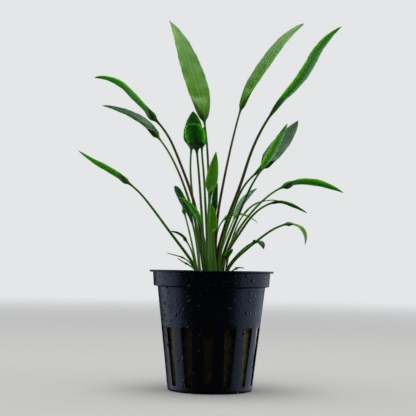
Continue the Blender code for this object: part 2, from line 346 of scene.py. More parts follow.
def make_tissue() -> Effect:
    """A leaf's colours from foot to tip, with its veins, streaks and browned tip."""
    inputs: dict[str, Value] = {
        "Foot": (0.2, 0.1, 0.1), "Middle": (0.2, 0.2, 0.1), "Top": (0.1, 0.4, 0.1), "Blade": (0.1, 0.4, 0.1),
        "Shade": (0.1, 0.3, 0.1), "Vein": (0.2, 0.4, 0.1), "Tip": (0.2, 0.1, 0.1), "Lower": (0.2, 0.4, 0.2),
        "Redness": 0.5, "Veining": 0.5,
    }
    tissue = Effect("leaf_tissue", inputs, ("Colour", "Roughness", "Height"))
    tree, given = tissue.tree, tissue.given
    growth = tree.node("ShaderNodeAttribute", {}, attribute_name=GROWTH).outputs["Vector"]
    lower = tree.node("ShaderNodeAttribute", {}, attribute_name=LOWER_SIDE).outputs["Fac"]
    tint = tree.node("ShaderNodeAttribute", {}, attribute_name=TINT).outputs["Fac"]
    stalk, blade, across = tree.split(growth)
    aside = tree.math("ABSOLUTE", across)

    # Streaks run along the leaf, and clouds lie over it
    lengthways = tree.node("ShaderNodeCombineXYZ", {0: tree.math("MULTIPLY", across, 9.0),
                                                    1: tree.math("MULTIPLY", blade, 2.5),
                                                    2: tree.math("MULTIPLY", tint, 37.0)}).outputs[0]
    streaks = tree.noise(lengthways, 1.0, 4.0, 0.3)
    clouds = tree.noise(tree.place(), 260.0, 3.0)
    shading = tree.ramp(tree.math("ADD", tree.math("MULTIPLY", streaks, 0.6), tree.math("MULTIPLY", clouds, 0.4)),
                        0.38, 0.62)

    # The petiole's three colours, then the blade's
    stem = tree.mix(tree.ramp(tree.math("ADD", stalk, tree.math("MULTIPLY", streaks, 0.2)), 0.12, given["Redness"]),
                    given["Foot"], given["Middle"])
    stem = tree.mix(tree.ramp(stalk, 0.55, 0.98), stem, given["Top"])
    sheet = tree.mix(shading, given["Shade"], given["Blade"])
    sheet = tree.mix(tree.math("MULTIPLY", lower, 0.8), sheet, given["Lower"])
    midrib = tree.ramp(aside, 0.10, 0.02)
    side_veins = tree.math("POWER", tree.math("ABSOLUTE", tree.math("COSINE", tree.math("MULTIPLY", aside, 3 * pi))), 14.0)
    side_veins = tree.math("MULTIPLY", side_veins, tree.ramp(aside, 0.95, 0.8))
    veins = tree.math("MAXIMUM", midrib, tree.math("MULTIPLY", side_veins, 0.45))
    sheet = tree.mix(tree.math("MULTIPLY", veins, given["Veining"]), sheet, given["Vein"])
    spot = tree.math("ADD", blade, tree.math("MULTIPLY", tree.math("SUBTRACT", clouds, 0.5), 0.25))
    sheet = tree.mix(tree.ramp(spot, 0.90, 1.02), sheet, given["Tip"])
    margin = tree.math("MULTIPLY", tree.ramp(aside, 0.90, 1.0), 0.45)
    sheet = tree.mix(margin, sheet, given["Shade"])
    tree.put(tissue.result["Colour"], tree.mix(tree.ramp(blade, 0.0, 0.10), stem, sheet))

    rough = tree.math("ADD", tree.math("MULTIPLY", clouds, 0.16), tree.math("MULTIPLY", lower, 0.12))
    tree.put(tissue.result["Roughness"], tree.math("ADD", rough, 0.26))
    tree.put(tissue.result["Height"], tree.math("SUBTRACT", tree.math("MULTIPLY", clouds, 0.5), midrib))
    return tissue


@dataclass(frozen=True)
class BladeFinish:
    """One green of blade, with the slot name that its materials' names start with."""

    slot: str
    blade: Colour
    shade: Colour
    vein: Colour
    tip: Colour
    lower: Colour
    veining: float = 0.5


@dataclass(frozen=True)
class StalkFinish:
    """A petiole's colours from the crown up, and how far its foot colour reaches."""

    foot: Colour
    middle: Colour
    top: Colour
    redness: float = 0.5


class Blade(Enum):
    """The greens of blade."""

    PALE = BladeFinish("leaf_pale", (0.07, 0.25, 0.10), (0.04, 0.16, 0.06), (0.12, 0.32, 0.14),
                       (0.10, 0.22, 0.05), (0.10, 0.30, 0.13))
    BRIGHT = BladeFinish("leaf_bright", (0.17, 0.46, 0.025), (0.08, 0.30, 0.012), (0.30, 0.55, 0.10),
                         (0.16, 0.22, 0.02), (0.20, 0.46, 0.08))
    OLIVE = BladeFinish("leaf_olive", (0.12, 0.26, 0.02), (0.07, 0.17, 0.01), (0.18, 0.25, 0.05),
                        (0.10, 0.12, 0.02), (0.15, 0.30, 0.05))
    MID = BladeFinish("leaf_mid", (0.12, 0.38, 0.02), (0.06, 0.24, 0.01), (0.20, 0.22, 0.05),
                      (0.04, 0.12, 0.008), (0.16, 0.40, 0.06))
    DARK = BladeFinish("leaf_dark", (0.015, 0.12, 0.018), (0.007, 0.06, 0.008), (0.03, 0.15, 0.03),
                       (0.03, 0.06, 0.01), (0.03, 0.15, 0.03), 0.35)


class Stalk(Enum):
    """The colours of petiole."""

    RED = StalkFinish((0.16, 0.03, 0.015), (0.22, 0.06, 0.03), (0.16, 0.24, 0.03), 0.85)
    BROWN = StalkFinish((0.10, 0.04, 0.018), (0.16, 0.12, 0.04), (0.14, 0.26, 0.03), 0.65)
    OLIVE = StalkFinish((0.12, 0.08, 0.02), (0.18, 0.20, 0.04), (0.17, 0.34, 0.03), 0.4)
    GREEN = StalkFinish((0.10, 0.14, 0.03), (0.13, 0.38, 0.04), (0.13, 0.38, 0.03), 0.3)
    PALE = StalkFinish((0.40, 0.50, 0.22), (0.35, 0.60, 0.16), (0.20, 0.50, 0.05), 0.4)
    DARK = StalkFinish((0.06, 0.03, 0.015), (0.05, 0.08, 0.015), (0.025, 0.15, 0.02), 0.5)


class Outline(Enum):
    """A blade's outline, as the exponents of its width towards its base and towards its tip."""

    STRAP = (0.5, 0.55)
    LANCE = (0.55, 0.95)
    SLENDER = (0.9, 0.8)
    OVATE = (0.50, 0.80)
    SPOON = (0.45, 0.40)
    PADDLE = (0.8, 0.4)


class Place(NamedTuple):
    """One ring's place on a leaf's midrib."""

    along: float
    point: Vector
    direction: Vector


@dataclass(frozen=True)
class Crown:
    """The domed top of the rootstock, which the petioles stand on."""

    top: float = 45.5 * MM
    radius: float = 8.0 * MM
    dome: float = 0.035 / MM
    foot: float = 37.0 * MM

    def height(self, radius: float) -> float:
        """The height of the dome at a radius."""
        return self.top - self.dome * radius**2


@dataclass(frozen=True)
class Leaf:
    """One leaf with its petiole, with lengths in millimetres.

    The leaf starts on the crown at root and leans towards its heading, from +X towards +Y. Lean holds its angles
    from upright at equal steps from the crown to the tip.
    """

    name: str
    root: tuple[float, float]
    heading: float
    petiole: float
    blade: float
    width: float
    lean: tuple[float, ...]
    green: Blade = Blade.MID
    stem: Stalk = Stalk.GREEN
    outline: Outline = Outline.LANCE
    roll: float = 0.0
    stalk: float = 0.6
    wave: float = 0.08

    CLEARANCE = 0.3 * MM
    FOLD = 0.12
    THICKNESS = 0.36
    MARGIN = 0.14
    STALK_STEP = 4.0
    BLADE_STEP = 1.1
    FINE_STEPS = 6

    @property
    def stalk_share(self) -> float:
        """The petiole's share of the whole length."""
        return self.petiole / (self.petiole + self.blade)

    @property
    def columns(self) -> int:
        """Points round each ring."""
        return 28 if self.blade > 12 else 20

    def steps_along(self) -> list[float]:
        """How far along the leaf, from 0 to 1, each ring stands."""
        whole = self.petiole + self.blade
        stalk_rings = max(6, round(self.petiole / self.STALK_STEP))
        blade_rings = max(16, round(self.blade / self.BLADE_STEP))
        stalk = [self.petiole / whole * i / stalk_rings for i in range(stalk_rings)]
        return stalk + [(self.petiole + self.blade * i / blade_rings) / whole for i in range(blade_rings + 1)]

    def lean_at(self, along: float) -> float:
        """The lean from upright, in radians, at a share of the length."""
        place = along * (len(self.lean) - 1)
        below = min(int(place), len(self.lean) - 2)
        return radians(self.lean[below] + (self.lean[below + 1] - self.lean[below]) * (place - below))

    def midrib(self, crown: Crown) -> list[Place]:
        """Each ring's place, up the leaf's own upright plane.

        Args:
            crown: The crown that the leaf stands on.

        Returns:
            The places, from the foot to the tip.
        """
        outward = Vector((cos(radians(self.heading)), sin(radians(self.heading)), 0))
        root = Vector(self.root).to_3d() * MM
        inner_side = root.length - 1.5 * self.stalk * MM
        point = root + Vector((0, 0, crown.height(inner_side) + self.CLEARANCE))
        length = (self.petiole + self.blade) * MM
        places, before = [], 0.0
        for along in self.steps_along():
            step = (along - before) / self.FINE_STEPS
            for i in range(self.FINE_STEPS):
                lean = self.lean_at(before + step * (i + 0.5))
                point = point + step * length * (outward * sin(lean) + Vector((0, 0, cos(lean))))
            lean = self.lean_at(along)
            places.append(Place(along, point.copy(), outward * sin(lean) + Vector((0, 0, cos(lean)))))
            before = along
        return places

    def blade_share(self, along: float) -> float:
        """How far up the blade a share of the length is, from 0 to 1."""
        return max(0.0, (along - self.stalk_share) / (1 - self.stalk_share))

    def half_width(self, along: float) -> float:
        """The half width of the petiole or the blade, in millimetres."""
        if along <= self.stalk_share:
            return self.stalk * (1.25 - 0.5 * along / self.stalk_share)
        part = self.blade_share(along)
        near, far = self.outline.value
        peak = near / (near + far)
        outline = (part / peak) ** near * (max(0.0, 1 - part) / (1 - peak)) ** far
        least = 0.75 * self.stalk * (1 - 0.8 * part)
        return hypot(self.width / 2 * outline, least * (1 - smooth(part, 0.1, 0.6))) if part < 0.6 else max(
            self.width / 2 * outline, least * 0.6)

    def section(self, along: float, angle: float) -> tuple[float, float]:
        """One point of a ring, as millimetres across the leaf and up from it.

        Args:
            along: The ring's share of the leaf's length.
            angle: The point's bearing round the ring, with 0 and pi at the margins and the upper side between.

        Returns:
            The offsets across and up.
        """
        part = self.blade_share(along)
        flat = min(1.0, part / 0.2)
        half = self.half_width(along)
        share, rise = cos(angle), sin(angle)
        aside = abs(share)
        upper = rise > 0
        channel = 0.22 * half * exp(-((share / 0.45) ** 2)) * smooth(along, 0.2, 0.5) if upper else 0.0
        stem = half * rise - channel
        body = min(half, self.THICKNESS / 2) * (1 - 0.55 * aside**2)
        sheet = copysign(abs(rise) ** 0.6, rise) * max(body, min(half, self.MARGIN / 2))
        if upper:
            sheet -= 0.10 * exp(-((share / 0.12) ** 2))
        else:
            sheet -= 0.30 * (1 - part) * exp(-((share / 0.12) ** 2))
        sheet += 0.035 * cos(6 * pi * aside) * (1 - aside) * min(1.0, half / 2)
        envelope = sin(pi * min(1.0, part)) ** 0.5 if 0 < part < 1 else 0.0
        phase = 2 * pi * self.blade * part / 9.0 + (0.9 if share > 0 else 3.3) + self.heading
        ripple = self.wave * envelope * aside**2 * sin(phase)
        lift = self.FOLD * half * aside * (1 + 0.25 * aside)
        return half * share * (1 + 0.02 * flat * sin(2.3 * phase)), (1 - flat) * stem + flat * (sheet + lift + ripple)

    def raise_tube(self, rings: int) -> bpy.types.Object:
        """A closed straight tube, cut into rings, that the leaf is shaped from."""
        bpy.ops.object.select_all(action="DESELECT")
        bpy.ops.mesh.primitive_cylinder_add(vertices=self.columns, radius=1, depth=1, end_fill_type="NGON")
        tube = name_piece(bpy.context.object, "leaf_" + self.name + "_visual")
        bpy.ops.object.mode_set(mode="EDIT")
        bpy.ops.mesh.select_mode(type="EDGE")
        bpy.ops.mesh.select_all(action="DESELECT")
        bpy.ops.object.mode_set(mode="OBJECT")
        points = tube.data.vertices
        for edge in tube.data.edges:
            low, high = (points[i].co.z for i in edge.vertices)
            edge.select = abs(high - low) > 0.5
        bpy.ops.object.mode_set(mode="EDIT")
        bpy.ops.mesh.subdivide(number_cuts=rings - 2)
        bpy.ops.object.mode_set(mode="OBJECT")
        return tube

    def build(self, crown: Crown, tint: float) -> bpy.types.Object:
        """The leaf's finished mesh.

        Args:
            crown: The crown that the leaf stands on.
            tint: A chance value from 0 to 1 that its colours vary with.

        Returns:
            The leaf, without its material.
        """
        places = self.midrib(crown)
        leaf = self.raise_tube(len(places))
        across = Vector((-sin(radians(self.heading)), cos(radians(self.heading)), 0))
        growth, lower = [], []
        for vertex in leaf.data.vertices:
            place = places[round((vertex.co.z + 0.5) * (len(places) - 1))]
            angle = atan2(vertex.co.y, vertex.co.x)
            part = self.blade_share(place.along)
            turn = Matrix.Rotation(radians(self.roll) * min(1.0, part / 0.2), 3, place.direction)
            side, up = turn @ across, turn @ place.direction.cross(across)
            sideways, upwards = self.section(place.along, angle)
            vertex.co = place.point + (side * sideways + up * upwards) * MM
            growth += [min(1.0, place.along / self.stalk_share), part, cos(angle)]
            lower.append(0.5 - 0.5 * max(-1.0, min(1.0, 3 * sin(angle))))
        leaf.data.attributes.new(GROWTH, "FLOAT_VECTOR", "POINT").data.foreach_set("vector", growth)
        leaf.data.attributes.new(LOWER_SIDE, "FLOAT", "POINT").data.foreach_set("value", lower)
        leaf.data.attributes.new(TINT, "FLOAT", "POINT").data.foreach_set("value", [tint] * len(lower))
        close_and_orient(leaf)
        apply_modifier(leaf, "SUBSURF", levels=1, render_levels=1)
        return leaf


LEAVES = (
    Leaf("tall_centre", (0.2, 1.9), 132, 75, 58, 11, (0, 6, 4, 5, 14, 26, 28, 45), Blade.BRIGHT, Stalk.BROWN,
         roll=-20, wave=0.2),
    Leaf("tall_right_inner", (2.0, 0.9), 22, 81, 54, 8, (-4, 1, 10, 12, 15, 33, 37, 56),
         Blade.MID, Stalk.RED, Outline.STRAP, roll=25),
    Leaf("tall_right_outer", (1.9, -1.4), -25, 79, 50, 8.5, (-5, 15, 23, 17, 31, 49, 28, 58),
         Blade.MID, Stalk.BROWN, Outline.SLENDER, roll=-10, stalk=0.75),
    Leaf("bright_right", (3.4, -3.8), -40, 54, 28, 6, (-6, 8, 24, 25, 60, 33, 32),
         Blade.BRIGHT, Stalk.GREEN, Outline.SLENDER),
    Leaf("dark_right", (3.2, 2.8), 28, 60, 30, 10.5, (-2, 20, 24, 25, 41, 40, 34),
         Blade.DARK, Stalk.DARK, Outline.OVATE, roll=25),
    Leaf("arching_left_upper", (-1.9, -0.6), 192, 78, 34, 10, (5, 9, 14, 22, 24, 50, 45, 95),
         Blade.MID, Stalk.BROWN, Outline.STRAP, roll=5, stalk=0.7),
    Leaf("arching_left_dark", (-2.6, 2.2), 158, 73, 34, 9.5, (8, 10, 17, 22, 30, 46, 66, 76),
         Blade.DARK, Stalk.OLIVE, Outline.STRAP, roll=-15),
    Leaf("arching_left_lower", (-4.6, -3.4), 198, 57, 26, 7, (4, 37, 40, 38, 41, 61, 63, 53),
         Blade.BRIGHT, Stalk.GREEN, Outline.LANCE, roll=12),
    Leaf("young_centre", (-0.4, -2.4), -10, 40, 20, 5.6, (1, -3, -5, 3, 9, 5),
         Blade.BRIGHT, Stalk.PALE, roll=80, stalk=0.9),
    Leaf("dark_left", (-4.2, -1.6), 202, 28, 19, 5.5, (10, 7, 12, 31, 28), Blade.DARK, Stalk.PALE,
         Outline.PADDLE, roll=17),
    Leaf("young_front", (1.2, -4.6), 0, 23, 14, 3.6, (8, -6, -4, 2, -18),
         Blade.BRIGHT, Stalk.GREEN, roll=80, stalk=0.8),
    Leaf("narrow_behind_centre", (1.2, 4.2), 0, 33, 14, 3.4, (-4, 5, -2, -4, 15),
         Blade.DARK, Stalk.DARK, roll=60, stalk=0.5),
    Leaf("spoon_back", (-4.8, 0.6), 180, 62, 17, 9, (5, 5, 8, 6, -6, 4),
         Blade.DARK, Stalk.GREEN, Outline.OVATE, roll=80),
    Leaf("spoon_front", (-2.8, -3.6), 250, 61, 12, 9.4, (6, 11, 13, 14, 18, 38),
         Blade.DARK, Stalk.GREEN, Outline.SPOON),
    Leaf("spoon_edge", (-2.4, 5.2), 225, 63, 10, 4.5, (-4, 1, 6, 5, 10, -18), Blade.DARK, Stalk.GREEN, roll=20),
    Leaf("thin_front_left", (-0.6, -6.4), 215, 26, 19, 3.8, (3, 9, 13, 18, 42, 72),
         Blade.BRIGHT, Stalk.GREEN, Outline.SLENDER, roll=10),
    Leaf("left_behind", (-5.4, 3.4), 170, 34, 13, 5.5, (8, 11, 14, 17, 20), Blade.BRIGHT, Stalk.PALE,
         roll=10, stalk=0.5),
    Leaf("small_left", (-6.2, -1.8), 190, 22, 9, 4.5, (5, 8, 15, 45, 90), Blade.DARK, Stalk.GREEN,
         roll=10, stalk=0.45),
    Leaf("arching_right_upper", (5.0, 0.6), 12, 56, 30, 9, (-8, 15, 30, 40, 51, 79, 101, 112),
         Blade.MID, Stalk.GREEN, Outline.LANCE, roll=-15),
    Leaf("arching_right_dark", (5.4, -1.8), -15, 46, 17, 6, (-14, 12, 35, 33, 57, 109, 117),
         Blade.DARK, Stalk.OLIVE, Outline.SLENDER, roll=-15),
    Leaf("thin_right", (5.8, 2.4), 25, 35, 20, 4, (3, 7, 13, 22, 44, 72, 95),
         Blade.OLIVE, Stalk.OLIVE, Outline.SLENDER, stalk=0.45),
    Leaf("small_back", (0.6, 7.6), 18, 33, 18, 4.5, (10, 6, -3, 4, 58, 100, 130), Blade.MID, Stalk.GREEN,
         roll=20, stalk=0.45),
    Leaf("pale_back_right", (2.6, 5.2), 54, 34, 26, 4.5, (-14, 20, 35, 34, 52, 67),
         Blade.PALE, Stalk.PALE, Outline.SLENDER, stalk=0.5),
    Leaf("low_right", (5.4, -4.4), -30, 44, 15, 5.5, (-7, 29, 52, 54, 56, 72, 124, 198), Blade.BRIGHT, Stalk.GREEN),
    Leaf("drooping_right", (4.2, -6.2), -45, 30, 7, 5, (5, 28, 48, 54, 72, 165), Blade.DARK, Stalk.GREEN,
         stalk=0.45),
    Leaf("short_right", (3.2, -7.2), -50, 15, 6, 4, (2, 16, 34, 56), Blade.DARK, Stalk.GREEN, stalk=0.45),
    Leaf("rim_right", (6.7, -3.0), -15, 11, 4, 4, (-6, 12, 60, 106), Blade.MID, Stalk.GREEN, stalk=0.45),
    Leaf("thin_rim_left", (-6.6, 1.6), 180, 16, 8, 2, (-12, 12, 44, 76, 76), Blade.OLIVE, Stalk.OLIVE, stalk=0.4),
    Leaf("short_rim_left", (-5.6, -5.4), 185, 14, 5, 2.4, (-20, 5, 50, 64, 58), Blade.DARK, Stalk.GREEN,
         stalk=0.45),
)


@dataclass
class Foliage:
    """Every leaf, with the materials that leaves share."""

    crown: Crown
    tissue: Effect
    leaves: tuple[Leaf, ...] = LEAVES
    seed: int = 11
    relief: float = 0.03 * MM
    materials: dict[tuple[Blade, Stalk], bpy.types.Material] = field(default_factory=dict)

    def material(self, green: Blade, stem: Stalk) -> bpy.types.Material:
        """The material of leaves with this blade and this petiole, made once."""
        if (green, stem) not in self.materials:
            look, foot = green.value, stem.value
            paint = Paint(f"{look.slot}_on_{stem.name.lower()}_stalk", {"Specular IOR Level": 0.3, "Subsurface Weight": 1.0,
                           "Subsurface Scale": 1.0 * MM, "Subsurface Radius": (0.7, 1.2, 0.3)})
            made = self.tissue.into(paint.tree, {
                "Foot": foot.foot, "Middle": foot.middle, "Top": foot.top, "Redness": foot.redness,
                "Blade": look.blade, "Shade": look.shade, "Vein": look.vein, "Tip": look.tip,
                "Lower": look.lower, "Veining": look.veining,
            })
            self.materials[green, stem] = paint.finish(
                made["Colour"], made["Roughness"], made["Height"], self.relief)
        return self.materials[green, stem]

    def build(self) -> None:
        """Builds and dresses each leaf."""
        chance = Random(self.seed)
        for leaf in self.leaves:
            piece = leaf.build(self.crown, chance.random())
            dress(piece, self.material(leaf.green, leaf.stem), "leaf_" + leaf.name, pi)


@dataclass
class Pot:
    """The net pot: a thin tapered wall with slanted slots, a wider collar and an outturned lip."""

    height: float
    lip_radius: float
    collar_radius: float = 26.0 * MM
    collar_height: float = 6.8 * MM
    wall_top_radius: float = 23.9 * MM
    wall_foot_radius: float = 18.6 * MM
    wall: float = 1.0 * MM
    slots: int = 14
    slot_turn: float = -3.0
    slot_top: float = 27.8 * MM
    slot_foot: float = 2.7 * MM
    slot_top_width: float = 5.2 * MM
    slot_foot_width: float = 2.7 * MM
    columns_per_slot: int = 12
    slot_columns: int = 3  # each side of a slot's middle

    def wall_radius(self, height: float) -> float:
        """The outside radius of the tapered wall at a height."""
        share = height / (self.height - self.collar_height)
        return self.wall_foot_radius + (self.wall_top_radius - self.wall_foot_radius) * share

    def rows(self) -> list[tuple[float, float]]:
        """(radius, height) round the pot's section, from under its foot to its inner floor."""
        step, lip = self.height - self.collar_height, self.height - 0.9 * MM
        outside = [(heights, self.wall_radius(heights)) for heights in (
            0.8 * MM, 1.7 * MM, self.slot_foot, self.slot_top, self.slot_top + 2 * MM, 0.6 * (self.slot_top + step),
            step - 1.2 * MM, step - 0.4 * MM)]
        inside = [(heights, self.wall_radius(heights) - self.wall) for heights in (
            step - 0.4 * MM, step - 1.4 * MM, self.slot_top + 2 * MM, self.slot_top, self.slot_foot, 2 * self.wall)]
        foot = self.wall_foot_radius - 0.8 * MM
        collar = self.collar_radius
        return (
            [(foot, 0.0), (foot + 0.25 * MM, 0.06 * MM), (foot + 0.62 * MM, 0.3 * MM)]
            + [(radius, height) for height, radius in outside]
            + [
                (collar - 0.55 * MM, step - 0.05 * MM),
                (collar - 0.4 * MM, step + 0.1 * MM),
                (collar - 0.36 * MM, step + 0.6 * MM),
                (collar - 0.02 * MM, lip - 0.5 * MM),
                (collar + 0.04 * MM, lip - 0.1 * MM),
                (collar + 0.2 * MM, lip),
                (self.lip_radius - 0.2 * MM, lip),
                (self.lip_radius, lip + 0.2 * MM),
                (self.lip_radius, self.height - 0.3 * MM),
                (self.lip_radius - 0.1 * MM, self.height - 0.1 * MM),
                (self.lip_radius - 0.3 * MM, self.height),
                (collar - self.wall + 0.3 * MM, self.height),
                (collar - self.wall + 0.05 * MM, self.height - 0.1 * MM),
                (collar - self.wall, self.height - 0.4 * MM),
                (collar - self.wall - 0.36 * MM, step + self.wall + 0.4 * MM),
                (collar - self.wall - 0.5 * MM, step + self.wall),
                (self.wall_top_radius - self.wall + 0.2 * MM, step),
            ]
            + [(radius, height) for height, radius in inside]
            + [(foot - self.wall + 0.3 * MM, self.wall + 0.1 * MM), (foot - self.wall, self.wall)]
        )

    def turn_columns(self, pot: bpy.types.Object) -> None:
        """Moves the points at the slots' tops and feet to the slots' slanted sides."""
        pitch = 2 * pi / self.slots
        even = pitch / self.columns_per_slot
        widths = {self.slot_top: self.slot_top_width, self.slot_foot: self.slot_foot_width}
        for vertex in pot.data.vertices:
            width = next((w for z, w in widths.items() if abs(vertex.co.z - z) < 1e-6), None)
            if width is None:
                continue
            radius = hypot(vertex.co.x, vertex.co.y)
            bearing = atan2(vertex.co.y, vertex.co.x) + pi / 2 - radians(self.slot_turn)
            slot = round(bearing / pitch)
            column = (bearing - slot * pitch) / even
            edge = asin(width / 2 / radius)
            inner, half = self.slot_columns, self.columns_per_slot / 2
            if abs(column) <= inner:
                turned = edge * column / inner
            else:
                turned = copysign(edge + (pitch / 2 - edge) * (abs(column) - inner) / (half - inner), column)
            angle = turned + slot * pitch - pi / 2 + radians(self.slot_turn)
            vertex.co.x, vertex.co.y = radius * cos(angle), radius * sin(angle)

    def open_slots(self, pot: bpy.types.Object) -> None:
        """Opens each slot by bridging its patch of outer wall to its patch of inner wall."""
        pitch = 2 * pi / self.slots
        middle = (self.slot_top + self.slot_foot) / 2
        for index in range(self.slots):
            bearing = radians(self.slot_turn) + index * pitch - pi / 2
            ahead = Vector((cos(bearing), sin(bearing), 0))
            side = Vector((-sin(bearing), cos(bearing), 0))

            def in_slot(centre: Vector) -> bool:
                """Whether a wall face lies in this slot."""
                reach = self.slot_top_width / 2 * 0.92
                return abs(centre.z - middle) < 1 * MM and centre.dot(ahead) > 0 and abs(centre.dot(side)) < reach

            found = select_faces(pot, in_slot)
            if found != 4 * self.slot_columns:
                log.warning("slot %d has %d faces", index + 1, found)
            select_only(pot)
            bpy.ops.object.mode_set(mode="EDIT")
            bpy.ops.mesh.bridge_edge_loops()
            bpy.ops.object.mode_set(mode="OBJECT")

    def plastic(self, grain: Effect, beads: Effect) -> bpy.types.Material:
        """Black satin plastic, wet with fine beads that gather towards both sides of the upper wall."""
        paint = Paint("pot_plastic", {"Specular IOR Level": 0.5, "Specular Tint": (0.6, 0.72, 1.0, 1.0)})
        tree = paint.tree
        x, _, z = tree.split(tree.place())
        sides = tree.ramp(tree.math("ABSOLUTE", x), 6 * MM, 13 * MM, 0.16, 0.85)
        rise = tree.ramp(z, self.slot_foot, self.slot_top + 6 * MM, 0.12, 1.0)
        patches = tree.ramp(tree.noise(tree.place(), 90.0, 2.0), 0.35, 0.6, 0.35, 1.0)
        cover = tree.math("MULTIPLY", tree.math("MULTIPLY", sides, rise), patches)
        large = beads.into(tree, {"Scale": 430.0, "Cover": cover, "Size": 0.42})
        small = beads.into(tree, {"Scale": 850.0, "Cover": cover, "Size": 0.45})
        dust = grain.into(tree, {"Scale": 900.0, "Light": (0.004, 0.005, 0.009), "Dark": (0.002, 0.0025, 0.005)})
        wet = tree.math("MAXIMUM", large["Mask"], small["Mask"])
        rough = tree.math("MULTIPLY_ADD", dust["Value"], 0.10, 0.26)
        rough = tree.math("MULTIPLY", rough, tree.math("MULTIPLY_ADD", wet, -0.7, 1.0))
        height = tree.math("ADD", large["Height"], tree.math("MULTIPLY", small["Height"], 0.5))
        height = tree.math("ADD", height, tree.math("MULTIPLY", dust["Value"], 0.01))
        return paint.finish(dust["Colour"], rough, height, 1.6 * MM)

    def build(self, grain: Effect, beads: Effect) -> None:
        """Builds and dresses the pot."""
        columns = self.slots * self.columns_per_slot
        turn = radians(self.slot_turn) - pi / 2
        pot = raise_rows("pot_visual", self.rows(), columns, turn)
        self.turn_columns(pot)
        self.open_slots(pot)
        close_and_orient(pot)
        apply_modifier(pot, "BEVEL", width=0.14 * MM, segments=2, limit_method="ANGLE", angle_limit=radians(60))
        dress(pot, self.plastic(grain, beads), "pot", radians(30))


